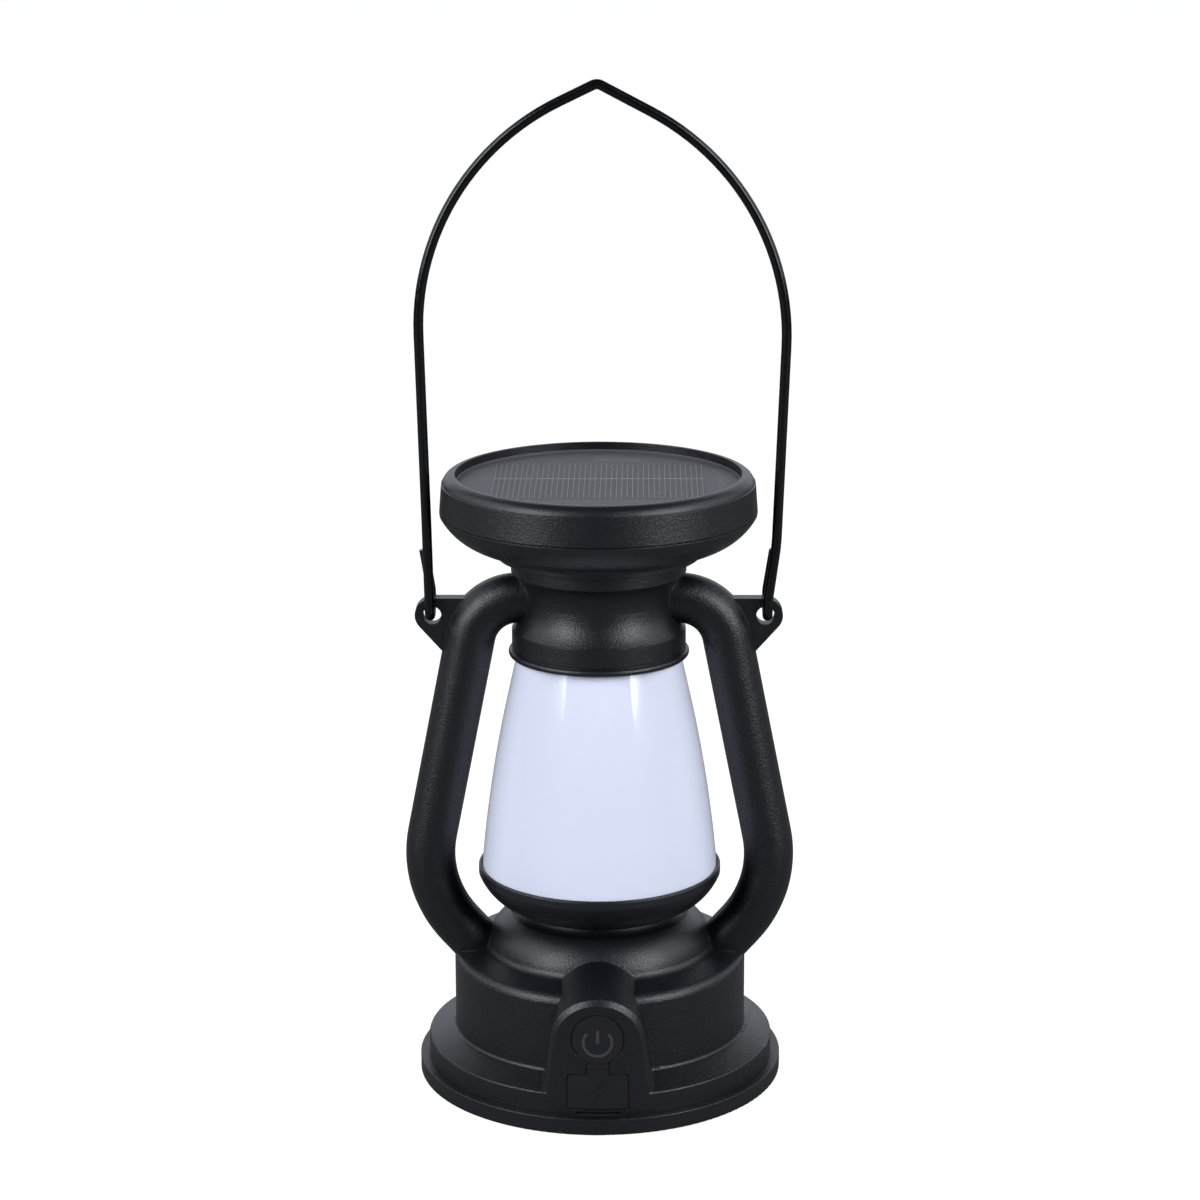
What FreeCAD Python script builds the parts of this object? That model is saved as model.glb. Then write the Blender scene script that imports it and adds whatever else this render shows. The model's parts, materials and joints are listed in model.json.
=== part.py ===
"""Solar lantern: a milk-white shade between two hollow side arms, a solar panel head and a wire bail.

FreeCAD macro, millimetres. +Z is up, -Y is the front with the power button, and the origin is the
centre of the resting plane. Every size is a cell of the sheet "Dims"; sketches, primitives and
placements read those cells through expressions.
"""
import FreeCAD, Part
import math
import os
import re

import Sketcher
from FreeCAD import Placement, Rotation, Vector

DIMENSIONS = {
    # base plate
    "rest_gap": 0.3, "flange_radius": 60.0, "flange_top": 5.8, "flange_edge": 0.6, "plate_floor": 3.0,
    "plate_rim_inner": 52.9, "lip_outer": 54.4, "lip_top": 9.2, "gasket_inner": 54.6,
    "gasket_outer": 56.95, "pad_radius": 6.0, "pad_reach": 46.0, "pad_top": 1.5,
    "base_screw_reach": 34.6, "base_boss_radius": 3.2, "plate_boss_radius": 4.6, "base_boss_top": 14.4,
    "base_boss_joint": 6.5, "base_head_seat": 3.6,
    # lower shell, outside
    "shell_foot": 6.1, "step_radius": 57.0, "step_top": 12.8, "step_edge": 0.6, "slope_radius": 49.3,
    "slope_top": 16.0, "foot_round": 1.2, "drum_radius": 48.1, "drum_foot": 17.2, "drum_shoulder": 39.5,
    "drum_edge": 3.4, "ledge_outer": 45.9, "ledge_low": 42.25, "ledge_inner": 39.25,
    "ledge_high": 43.65, "ledge_round": 3.0, "dome_foot_radius": 37.1, "dome_foot": 45.5,
    "dome_round": 14.0, "dome_top_radius": 29.3, "dome_top": 54.9, "stem_round": 3.2,
    "stem_radius": 25.4, "stem_height": 57.2, "cup_round": 19.0, "cup_radius": 39.85, "cup_belly": 68.8,
    "cup_brow": 71.2, "cup_lip": 39.4, "cup_top": 71.7,
    # lower shell, inside
    "wall": 2.2, "skirt_inner": 54.8, "skirt_ceiling": 10.4, "slope_inner": 45.9, "slope_ceiling": 16.2,
    "drum_ceiling": 39.6, "ledge_ceiling_radius": 35.2, "ledge_ceiling": 41.6,
    "dome_ceiling_radius": 22.0, "dome_ceiling": 53.0, "cup_well_radius": 28.0, "cup_well_floor": 61.0,
    "cup_floor": 65.2, "cup_seat_radius": 37.2, "cup_step": 69.6, "cup_mouth": 38.95,
    # neck
    "neck_foot": 143.0, "bead_root": 28.5, "bead_top": 145.2, "bead_round": 1.15, "groove_radius": 27.9,
    "groove_top": 145.7, "band_radius": 28.2, "band_top": 151.8, "bell_radius": 27.9,
    "bell_round": 14.5, "waist_radius": 23.9, "waist_z": 162.0, "flare_round": 11.6,
    "collar_radius": 28.3, "collar_line": 171.0, "collar_top": 175.4, "shade_pocket_radius": 27.0,
    "shade_pocket_top": 149.4, "neck_bore": 22.6, "neck_floor": 151.4, "neck_hole": 10.0,
    "neck_ceiling": 172.9, "spigot_hole": 20.3,
    # arms and ears
    "arm_radius": 8.15, "arm_bore": 5.9, "arm_start": 14.0, "arm_height": 161.6, "shoulder_x": 39.1,
    "shoulder_bend": 16.0, "elbow_x": 58.65, "elbow_z": 63.3, "elbow_bend": 37.0, "arm_foot_x": 40.7,
    "arm_foot_z": 43.2, "arm_root": 4.0, "arm_run_out": 6.0, "ear_thickness": 5.0, "ear_top": 161.85,
    "ear_root": 43.0, "ear_arc": 5.65, "hole_x": 53.85, "hole_z": 156.2, "hole_radius": 3.0,
    "ear_heel_x": 57.95, "ear_heel_z": 152.32, "ear_toe_x": 49.2, "ear_toe_z": 142.5,
    # front boss with button and port
    "boss_start": 58.0, "boss_length": 28.0, "boss_tilt": 13.5, "boss_arch": 15.1, "boss_arch_z": 29.2,
    "boss_tangent_x": 14.95, "boss_tangent_z": 31.3, "boss_foot_x": 18.8, "boss_foot_z": 3.8,
    "boss_chamfer": 1.4, "boss_inner_arch": 12.9, "boss_inner_tangent_x": 12.77,
    "boss_inner_tangent_z": 31.0, "boss_inner_foot_x": 15.4, "boss_inner_foot_z": 12.0,
    "boss_cavity_end": 36.0, "boss_cavity_front": 54.2, "button_z": 31.7, "button_radius": 8.2,
    "button_hole": 8.5, "button_face": 56.9, "button_flange": 8.9, "button_flange_y": 53.1,
    "button_flange_end": 51.9, "button_post": 2.2, "button_post_end": 51.3, "symbol_z": 30.75,
    "symbol_radius": 4.55, "symbol_stroke": 1.0, "symbol_depth": 0.4, "symbol_sink": 0.15,
    "symbol_bar": 1.1, "symbol_bar_foot": 0.3, "symbol_bar_top": 4.25, "symbol_gap_x": 3.58,
    "symbol_gap_z": 2.8, "strap_width": 7.0, "strap_gap": 0.25, "cover_width": 19.4, "cover_foot": 8.2,
    "cover_top": 19.6, "cover_corner": 1.6, "cover_thickness": 1.5, "cover_gap": 0.25,
    "cover_foot_gap": 0.35, "hinge_z": 21.6, "strap_slot_top": 24.4, "tab_end": 53.4,
    "anchor_head": 10.0, "anchor_head_foot": 19.4, "anchor_head_top": 22.45, "anchor_head_y": 53.7,
    "anchor_head_end": 52.5, "bolt_relief": 0.25, "plug_width": 15.6, "plug_foot": 10.4,
    "plug_top": 17.8, "plug_back": 53.6, "plug_chamfer": 1.0, "port_gap": 0.45, "notch_width": 14.2,
    "notch_top": 7.0, "notch_depth": 1.5,
    # switch board, switch and socket
    "switch_board_y": 45.6, "board_thickness": 1.6, "switch_board_width": 24.0,
    "switch_board_foot": 9.6, "switch_board_top": 36.4, "board_post_x": 10.3, "board_post_z": 21.8,
    "board_post_radius": 2.2, "board_post_front": 54.4, "pilot_radius": 0.85, "small_screw_radius": 0.8,
    "small_screw_length": 5.6, "small_head_radius": 1.8, "small_head_height": 1.2, "board_hole": 1.15,
    "switch_size": 6.0, "switch_front": 49.2, "plunger_radius": 1.6, "plunger_bore": 1.7,
    "plunger_front": 51.2, "plunger_back": 48.4, "bore_back": 46.8, "socket_z": 14.0,
    "socket_width": 8.9, "socket_height": 3.2, "socket_wall": 0.3, "socket_front": 52.9,
    "tongue_width": 6.6, "tongue_height": 0.7, "tongue_front": 52.2,
    # battery, cradle and contacts
    "cell_radius": 9.2, "cell_length": 65.0, "cell_y": 8.0, "cell_z": 13.6, "cell_cap_radius": 3.5,
    "cell_cap_height": 1.0, "cradle_length": 75.0, "cradle_width": 22.0, "cradle_top": 13.0,
    "cradle_gap": 0.2, "cradle_room": 70.6, "contact_width": 8.0, "contact_thickness": 0.4,
    "contact_foot": 6.0, "contact_top": 20.0, "spring_radius": 3.2, "spring_tip": 2.0,
    "dimple_radius": 1.5,
    # main board
    "main_board_z": 25.0, "main_board_x": 24.0, "main_board_front": 34.0, "main_board_back": 34.0,
    "standoff_x": 20.0, "standoff_y": 28.5, "standoff_radius": 2.6,
    # lamp board and shade
    "lamp_board_radius": 36.4, "lamp_board_hole": 5.0, "lamp_screw_radius": 31.8,
    "lamp_screw_turn": 120.0, "led_circle": 22.0, "led_inner_circle": 11.0, "led_length": 3.0,
    "led_width": 3.0, "led_height": 0.8, "shade_skirt": 66.8, "shade_skirt_radius": 37.0,
    "shade_step": 69.7, "shade_foot_radius": 38.8, "shade_high_radius": 30.3, "shade_high": 126.5,
    "shade_round": 440.0, "shade_top_radius": 25.6, "shade_top": 149.2, "shade_wall": 1.8,
    "shade_top_round": 1.5,
    # solar head
    "spigot_radius": 20.0, "spigot_bore": 16.0, "spigot_foot": 169.6, "spigot_flange": 22.3,
    "spigot_flange_top": 172.7, "seat_radius": 24.0, "bowl_foot": 176.2, "bowl_ring": 32.8,
    "bowl_ring_top": 177.6, "bowl_step": 33.9, "bowl_step_z": 179.2, "bowl_radius": 51.0,
    "bowl_round": 20.2, "bowl_belly": 189.8, "bowl_top": 190.4, "bowl_floor": 178.4,
    "bowl_floor_radius": 31.6, "bowl_inner_step": 180.6, "bowl_inner_radius": 48.8,
    "bowl_inner_belly": 189.9, "bezel_foot": 190.7, "bezel_radius": 51.1, "bezel_brow_radius": 50.4,
    "bezel_brow": 199.9, "bezel_brow_round": 3.6, "brow_step": 0.35, "rim_radius": 46.7,
    "rim_top": 203.0, "rim_inner": 46.0, "ledge_top": 198.3, "ledge_bottom": 196.3, "tray_hole": 6.0,
    "bezel_lip": 47.2, "bezel_lip_foot": 188.2, "bezel_lip_inner": 45.4, "head_screw_reach": 20.2,
    "head_boss_radius": 3.6, "head_boss_wall": 0.8, "head_boss_joint": 188.7, "head_screw_seat": 184.6,
    "panel_radius": 45.7, "panel_top": 200.6, "panel_film": 0.8, "tape_thickness": 0.3,
    "tape_inner": 43.4, "tape_outer": 45.5, "cell_strips": 10, "strip_pitch": 6.85, "strip_gap": 0.25,
    "strip_length": 50.0, "strip_thickness": 0.3, "strip_shift": 0.6,
    # shell screws
    "shell_screw_x": 30.0, "shell_screw_z": 31.0, "neck_screw_x": 15.2, "neck_screw_z": 165.4,
    "shell_boss_radius": 4.0, "head_well": 3.0, "shell_head_depth": 10.0, "screw_pilot": 1.45,
    "screw_radius": 1.4, "screw_clear": 1.6, "screw_head_radius": 2.7, "screw_head_height": 1.8,
    "screw_length": 9.0, "long_screw_length": 18.6, "cross_width": 0.7, "cross_depth": 0.9,
    # bail
    "bail_wire": 1.6, "axis_z": 160.42, "hook_radius": 4.8, "hook_x": 54.5, "apex_z": 327.1,
    "apex_bend": 3.0, "bend_right_x": 61.3, "bend_right_z": 294.9, "bend_right": 80.3,
    "bend_left_x": 57.7, "bend_left_z": 299.3, "bend_left": 79.0, "knee_right_x": 57.0,
    "knee_right_z": 180.3, "knee_left_x": 55.0, "knee_left_z": 188.0, "knee_bend": 60.0,
    "ankle_z": 161.8, "ankle_bend": 18.0, "return_bend_z": 163.0, "return_bend": 12.0,
    "return_top": 176.4, "return_left_x": 56.6, "return_right_x": 56.6,
    # leads
    "lead_radius": 1.3, "lead_bend": 8.0, "plug_bend": 2.0, "lead_height": 159.9, "panel_lead_z": 37.3,
    "panel_lead_x": 32.8, "socket_x": 16.0, "socket_top": 33.0, "socket_block": 8.0, "lamp_lead_x": 9.0,
    "lamp_lead_shift": 3.0, "lamp_lead_high": 55.0, "lamp_lead_mid": 48.0, "lamp_lead_low": 40.0,
    "battery_lead": 0.6, "battery_lead_z": 23.7, "battery_bend": 0.8, "battery_lead_x": 22.0,
    "ribbon_width": 12.0, "ribbon_thickness": 0.3, "ribbon_z": 25.4, "coil_side": 12.0,
    "coil_height": 6.0, "can_radius": 4.0, "can_height": 10.0, "chip_side": 7.0, "chip_height": 1.6,
}

UP = Vector(0, 0, 1)
BACK = Vector(0, 1, 0)
RIGHT = Vector(1, 0, 0)
SIDES = (("right", "+"), ("left", "-"))
CORNERS = (("+", "+"), ("+", "-"), ("-", "+"), ("-", "-"))
TINY = 1e-6

doc = FreeCAD.newDocument("SolarLantern")
sheet = doc.addObject("Spreadsheet::Sheet", "Dims")
subparts = []


def fill_sheet():
    for row, (name, value) in enumerate(DIMENSIONS.items(), start=1):
        sheet.set(f"A{row}", name)
        sheet.set(f"B{row}", str(value))
        sheet.setAlias(f"B{row}", name)
    doc.recompute()


def factor(word):
    """Value of one word of a size: a cell's name, a number, or one divided by another."""
    if "/" in word:
        top, bottom = word.split("/")
        return factor(top) / factor(bottom)
    return float(sheet.get(word)) if word in DIMENSIONS else float(word)


def number(text):
    """Value of a sum of cells, such as 'drum_radius - wall' or '- pad_reach'."""
    total, sign = 0.0, 1
    for word in text.split():
        if word in ("+", "-"):
            sign = -1 if word == "-" else 1
        else:
            total += sign * factor(word)
            sign = 1
    return total


def cells(text):
    """The same sum as an expression that the document keeps up to date."""
    return re.sub(r"[a-z][a-z_]*", lambda name: "Dims." + name.group(), text)


def point(x, y, z):
    return Vector(number(x), number(y), number(z))


def bind(thing, **sizes):
    """Set properties from sums of cells, and keep them bound to the sheet."""
    for name, text in sizes.items():
        setattr(thing, name, number(text))
        thing.setExpression(name, cells(text))


def place(thing, where, turn=Rotation()):
    thing.Placement = Placement(point(*where), turn)
    for axis, text in zip("xyz", where):
        thing.setExpression(f"Placement.Base.{axis}", cells(text))


def cylinder(name, radius, height, where, axis=UP):
    thing = doc.addObject("Part::Cylinder", name)
    bind(thing, Radius=radius, Height=height)
    place(thing, where, Rotation(UP, axis))
    return thing


def block(name, size, where):
    """A box whose first corner is at where."""
    thing = doc.addObject("Part::Box", name)
    bind(thing, Length=size[0], Width=size[1], Height=size[2])
    place(thing, where)
    return thing


def fuse(name, things):
    thing = doc.addObject("Part::MultiFuse", name)
    thing.Shapes = things
    return thing


def cut(name, base, tool):
    thing = doc.addObject("Part::Cut", name)
    thing.Base = base
    thing.Tool = tool
    return thing


def common(name, things):
    thing = doc.addObject("Part::MultiCommon", name)
    thing.Shapes = things
    return thing


def mirrored(name, source, normal=RIGHT):
    thing = doc.addObject("Part::Mirroring", name)
    thing.Source = source
    thing.Normal = normal
    return thing


def group(name, things):
    """Separate solids kept together as one sub-part."""
    thing = doc.addObject("Part::Compound", name)
    thing.Links = things
    return thing


def keep(thing, label):
    thing.Label = label
    subparts.append(thing)
    return thing


def arc_of(start, end, radius, turn):
    """The shorter arc from start to end, left-handed for 'ccw' and right-handed for 'cw'."""
    chord = end - start
    rise = math.sqrt(max(radius**2 - chord.Length**2 / 4, 0))
    left = Vector(-chord.y, chord.x, 0).normalize()
    centre = (start + end) / 2 + left * (rise if turn == "ccw" else -rise)
    first, last = (start, end) if turn == "ccw" else (end, start)
    angles = [math.atan2(p.y - centre.y, p.x - centre.x) for p in (first, last)]
    if angles[1] < angles[0]:
        angles[1] += 2 * math.pi
    return Part.ArcOfCircle(Part.Circle(centre, UP, radius), *angles)


def draw(sketch, outline):
    """A closed outline of corners (x, y); (x, y, radius, turn) reaches its corner by an arc."""
    corners = [Vector(number(c[0]), number(c[1]), 0) for c in outline]
    ends = []
    for index, corner in enumerate(outline):
        start, end = corners[index - 1], corners[index]
        if len(corner) == 2:
            geometry = sketch.addGeometry(Part.LineSegment(start, end))
            ends.append((geometry, 1, 2))
        else:
            geometry = sketch.addGeometry(arc_of(start, end, number(corner[2]), corner[3]))
            ends.append((geometry, 1, 2) if corner[3] == "ccw" else (geometry, 2, 1))
    for index, corner in enumerate(outline):
        geometry, _, last = ends[index]
        following, first, _ = ends[(index + 1) % len(ends)]
        sketch.addConstraint(Sketcher.Constraint("Coincident", geometry, last, following, first))
        pin(sketch, geometry, last, corner[:2])
        if len(corner) > 2:
            bound(sketch, Sketcher.Constraint("Radius", geometry, number(corner[2])), corner[2])


def pin(sketch, geometry, end, where):
    """Hold one point of a sketch at distances that the sheet gives."""
    for kind, axis, text in (("DistanceX", -2, where[0]), ("DistanceY", -1, where[1])):
        if abs(number(text)) < TINY:
            sketch.addConstraint(Sketcher.Constraint("PointOnObject", geometry, end, axis))
        else:
            bound(sketch, Sketcher.Constraint(kind, -1, 1, geometry, end, number(text)), text)


def bound(sketch, constraint, text):
    index = sketch.addConstraint(constraint)
    sketch.setExpression(f"Constraints[{index}]", cells(text))


def draw_circles(sketch, centres, radius):
    for centre in centres:
        middle = Vector(number(centre[0]), number(centre[1]), 0)
        geometry = sketch.addGeometry(Part.Circle(middle, UP, number(radius)))
        pin(sketch, geometry, 3, centre)
        bound(sketch, Sketcher.Constraint("Radius", geometry, number(radius)), radius)


def plane_sketch(body, name, role, lift="0"):
    """A sketch on one of a body's own origin planes, moved along the plane's normal by lift."""
    sketch = body.newObject("Sketcher::SketchObject", name)
    plane = next(f for f in body.Origin.OriginFeatures if f.Role == role)
    sketch.AttachmentSupport = (plane, "")
    sketch.MapMode = "FlatFace"
    sketch.setExpression("AttachmentOffset.Base.z", cells(lift))
    sketch.AttachmentOffset = Placement(Vector(0, 0, number(lift)), Rotation())
    return sketch


def new_body(label):
    body = doc.addObject("PartDesign::Body", label)
    return keep(body, label)


def turned(body, outline):
    """Add a full revolution of an outline drawn in X and Z."""
    sketch = plane_sketch(body, body.Name + "_profile", "XZ_Plane")
    draw(sketch, outline)
    feature = body.newObject("PartDesign::Revolution", body.Name + "_revolution")
    feature.Profile = sketch
    feature.ReferenceAxis = (sketch, ["V_Axis"])
    feature.Angle = 360
    doc.recompute()
    return feature


def raised(body, name, lift, length, centres=None, radius=None, outline=None):
    """Pad circles or an outline upwards from the height lift."""
    sketch = plane_sketch(body, name + "_sketch", "XY_Plane", lift)
    if outline:
        draw(sketch, outline)
    else:
        draw_circles(sketch, centres, radius)
    feature = body.newObject("PartDesign::Pad", name)
    feature.Profile = sketch
    bind(feature, Length=length)
    doc.recompute()
    return feature


def sunk(body, name, lift, depth, centres, radius):
    """Pocket circles upwards from the height lift, and check that material went."""
    before = body.Shape.Volume
    sketch = plane_sketch(body, name + "_sketch", "XY_Plane", lift)
    draw_circles(sketch, centres, radius)
    feature = body.newObject("PartDesign::Pocket", name)
    feature.Profile = sketch
    feature.Reversed = True
    bind(feature, Length=depth)
    doc.recompute()
    if body.Shape.Volume > before - TINY:
        raise ValueError(f"{name} cut nothing")
    return feature


def free_sketch(name, outline, lift="0"):
    """An outline in X and Z on the plane Y = -lift, for Part features."""
    sketch = doc.addObject("Sketcher::SketchObject", name)
    place(sketch, ("0", "- " + lift, "0"), Rotation(RIGHT, 90))
    draw(sketch, outline)
    return sketch


def revolved(name, outline):
    thing = doc.addObject("Part::Revolution", name)
    thing.Source = free_sketch(name + "_profile", outline)
    thing.Axis = UP
    thing.Angle = 360
    thing.Solid = True
    return thing


def extruded(name, outline, lift, length, direction=BACK):
    thing = doc.addObject("Part::Extrusion", name)
    thing.Base = free_sketch(name + "_profile", outline, lift)
    thing.DirMode = "Custom"
    thing.Dir = direction
    bind(thing, LengthFwd=length)
    thing.Solid = True
    return thing


def bent_path(corners):
    """Straight runs joined by tangent arcs: corners are (point, bend radius), ends have radius 0."""
    edges = []
    here = corners[0][0]
    for index in range(1, len(corners) - 1):
        corner, radius = corners[index]
        arriving = (corner - corners[index - 1][0]).normalize()
        leaving = (corners[index + 1][0] - corner).normalize()
        reach = radius * math.tan(arriving.getAngle(leaving) / 2)
        start, end = corner - arriving * reach, corner + leaving * reach
        inward = (leaving - arriving).normalize()
        sagitta = corner + inward * (math.hypot(radius, reach) - radius)
        if (start - here).Length > TINY:
            edges.append(Part.LineSegment(here, start).toShape())
        edges.append(Part.Arc(start, sagitta, end).toShape())
        here = end
    edges.append(Part.LineSegment(here, corners[-1][0]).toShape())
    return Part.Wire(edges)


def swept(name, radius, corners):
    """A round bar along a bent path."""
    path = doc.addObject("Part::Feature", name + "_path")
    path.Shape = bent_path(corners)
    section = doc.addObject("Part::Circle", name + "_section")
    bind(section, Radius=radius)
    start, following = corners[0][0], corners[1][0]
    section.Placement = Placement(start, Rotation(UP, following - start))
    thing = doc.addObject("Part::Sweep", name)
    thing.Sections = [section]
    thing.Spine = (path, [f"Edge{n}" for n in range(1, len(path.Shape.Edges) + 1)])
    thing.Solid = True
    return thing


# ---------------------------------------------------------------- moulded shells


def lower_outside():
    """The base: skirt, slope, drum, ledge, dome and stem, with the shade's cup on top."""
    return revolved("lower_outside", [
        ("0", "shell_foot"),
        ("step_radius", "shell_foot"),
        ("step_radius", "step_top - step_edge"),
        ("step_radius - step_edge", "step_top", "step_edge", "ccw"),
        ("slope_radius", "slope_top"),
        ("drum_radius", "drum_foot", "foot_round", "cw"),
        ("drum_radius", "drum_shoulder"),
        ("ledge_outer", "ledge_low", "drum_edge", "ccw"),
        ("ledge_inner", "ledge_high"),
        ("dome_foot_radius", "dome_foot", "ledge_round", "cw"),
        ("dome_top_radius", "dome_top", "dome_round", "ccw"),
        ("stem_radius", "stem_height", "stem_round", "cw"),
        ("cup_radius", "cup_belly", "cup_round", "ccw"),
        ("cup_radius", "cup_brow"),
        ("cup_lip", "cup_top"),
        ("0", "cup_top"),
    ])


def lower_inside():
    """The room inside the base, the stem's bore, the lamp board's well and the shade's seat."""
    return revolved("lower_inside", [
        ("0", "shell_foot - wall"),
        ("skirt_inner", "shell_foot - wall"),
        ("skirt_inner", "skirt_ceiling"),
        ("slope_inner", "slope_ceiling"),
        ("slope_inner", "drum_ceiling"),
        ("ledge_ceiling_radius", "ledge_ceiling"),
        ("dome_ceiling_radius", "dome_ceiling"),
        ("dome_ceiling_radius", "cup_well_floor"),
        ("cup_well_radius", "cup_well_floor"),
        ("cup_well_radius", "cup_floor"),
        ("cup_seat_radius", "cup_floor"),
        ("cup_seat_radius", "cup_step"),
        ("cup_mouth", "cup_step"),
        ("cup_mouth", "cup_top + wall"),
        ("0", "cup_top + wall"),
    ])


def neck_outside():
    return revolved("neck_outside", [
        ("0", "neck_foot"),
        ("bead_root", "neck_foot"),
        ("bead_root", "bead_top", "bead_round", "ccw"),
        ("groove_radius", "bead_top"),
        ("groove_radius", "groove_top"),
        ("band_radius", "groove_top"),
        ("band_radius", "band_top"),
        ("bell_radius", "band_top"),
        ("waist_radius", "waist_z", "bell_round", "cw"),
        ("collar_radius", "collar_line", "flare_round", "cw"),
        ("collar_radius", "collar_top"),
        ("0", "collar_top"),
    ])


def neck_inside():
    """The shade's pocket, a wire hole through the neck's floor, and the bore that holds the head."""
    return revolved("neck_inside", [
        ("0", "neck_foot - wall"),
        ("shade_pocket_radius", "neck_foot - wall"),
        ("shade_pocket_radius", "shade_pocket_top"),
        ("neck_hole", "shade_pocket_top"),
        ("neck_hole", "neck_floor"),
        ("neck_bore", "neck_floor"),
        ("neck_bore", "neck_ceiling"),
        ("spigot_hole", "neck_ceiling"),
        ("spigot_hole", "collar_top + wall"),
        ("0", "collar_top + wall"),
    ])


def arm_corners(run_out):
    """The arm's centre line: out of the neck, down past the shade and into the dome's shoulder."""
    foot = point("arm_foot_x", "0", "arm_foot_z")
    elbow = point("elbow_x", "0", "elbow_z")
    return [
        (point("arm_start", "0", "arm_height"), 0),
        (point("shoulder_x", "0", "arm_height"), number("shoulder_bend")),
        (elbow, number("elbow_bend")),
        (foot + (foot - elbow).normalize() * run_out, 0),
    ]


def ear():
    """A flat web on the arm's shoulder, with the bail's hole."""
    return extruded("ear_plate", [
        ("ear_root", "ear_top"),
        ("ear_root", "ear_toe_z"),
        ("ear_toe_x", "ear_toe_z"),
        ("ear_heel_x", "ear_heel_z"),
        ("hole_x", "ear_top", "ear_arc", "ccw"),
    ], "ear_thickness/2", "ear_thickness")


def boss_outline(arch, tangent_x, tangent_z, foot_x, foot_z):
    return [
        (tangent_x, tangent_z),
        ("0", "boss_arch_z + " + arch, arch, "ccw"),
        ("- " + tangent_x, tangent_z, arch, "ccw"),
        ("- " + foot_x, foot_z),
        (foot_x, foot_z),
    ]


def boss_direction():
    tilt = math.radians(number("boss_tilt"))
    return Vector(0, math.cos(tilt), math.sin(tilt))


def front_boss():
    """The arched block for button and port: flush with the skirt, with a chamfered front edge."""
    outline = boss_outline("boss_arch", "boss_tangent_x", "boss_tangent_z", "boss_foot_x", "boss_foot_z")
    prism = extruded("boss_prism", outline, "boss_start", "boss_length", boss_direction())
    face = cylinder("boss_face", "step_radius", "cup_top", ("0", "0", "shell_foot"))
    trimmed = common("boss_trimmed", [prism, face])
    doc.recompute()
    chamfer = doc.addObject("Part::Chamfer", "boss_chamfered")
    chamfer.Base = trimmed
    size = number("boss_chamfer")
    chamfer.Edges = [(index, size, size) for index in boss_front_edges(trimmed.Shape)]
    return chamfer


def boss_front_edges(shape):
    """Numbers of the edges where the boss's round face meets its sides and arch."""
    radius, foot = number("step_radius"), number("shell_foot")
    found = []
    for index, edge in enumerate(shape.Edges, start=1):
        middle = edge.valueAt((edge.FirstParameter + edge.LastParameter) / 2)
        on_face = abs(math.hypot(middle.x, middle.y) - radius) < TINY * radius
        if on_face and middle.z > foot + number("wall"):
            found.append(index)
    return found


def boss_cavity():
    outline = boss_outline("boss_inner_arch", "boss_inner_tangent_x", "boss_inner_tangent_z",
                           "boss_inner_foot_x", "boss_inner_foot_z")
    prism = extruded("boss_cavity_prism", outline, "boss_start", "boss_start - boss_cavity_end",
                     boss_direction())
    limit = cylinder("boss_cavity_limit", "boss_cavity_front", "cup_top", ("0", "0", "0"))
    return common("boss_cavity", [prism, limit])


def screw_posts(name, radius):
    """Round posts along Y for the screws that pull the two shells together."""
    posts = []
    for side, sign in SIDES:
        for kind, room in (("shell", "step_radius"), ("neck", "collar_radius")):
            where = (f"{sign} {kind}_screw_x", "- " + room, f"{kind}_screw_z")
            posts.append(cylinder(f"{name}_{kind}_{side}", radius, f"{room} + {room}", where, BACK))
    return posts


def board_posts(name, radius, front, back):
    return [cylinder(f"{name}_{side}", radius, f"{front} - {back}",
                     (f"{sign} board_post_x", "- " + front, "board_post_z"), BACK)
            for side, sign in SIDES]


def base_posts(name, radius, foot, top):
    return [cylinder(f"{name}_{n}", radius, f"{top} - {foot}",
                     (f"{x} base_screw_reach", f"{y} base_screw_reach", foot))
            for n, (x, y) in enumerate(CORNERS)]


def lamp_spots(radius):
    """Three places on a circle, the first at the back."""
    turn = number("lamp_screw_turn")
    return [Rotation(UP, turn * n).multVec(BACK) * number(radius) for n in range(3)]


def body_shell():
    """Both shells as one hollow moulding, before it is parted along the plane Y = 0."""
    arm = swept("arm", "arm_radius", arm_corners(number("arm_root")))
    arm_room = swept("arm_room", "arm_bore", arm_corners(number("arm_run_out")))
    web = ear()
    outside = fuse("outside", [lower_outside(), neck_outside(), arm, mirrored("arm_left", arm),
                               web, mirrored("ear_left", web), front_boss()])
    inside = fuse("inside", [lower_inside(), neck_inside(), arm_room, mirrored("arm_room_left", arm_room),
                             boss_cavity()])
    hollow = cut("hollow", outside, inside)
    posts = screw_posts("post", "shell_boss_radius")
    posts += board_posts("board_post", "board_post_radius", "board_post_front", "switch_board_y")
    posts += base_posts("base_post", "base_boss_radius", "base_boss_joint", "base_boss_top")
    supports = common("supports", [fuse("posts", posts), outside])
    ribbed = fuse("shell_ribbed", [hollow, supports])
    return cut("shell_drilled", ribbed, fuse("shell_tools", shell_tools()))


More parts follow.
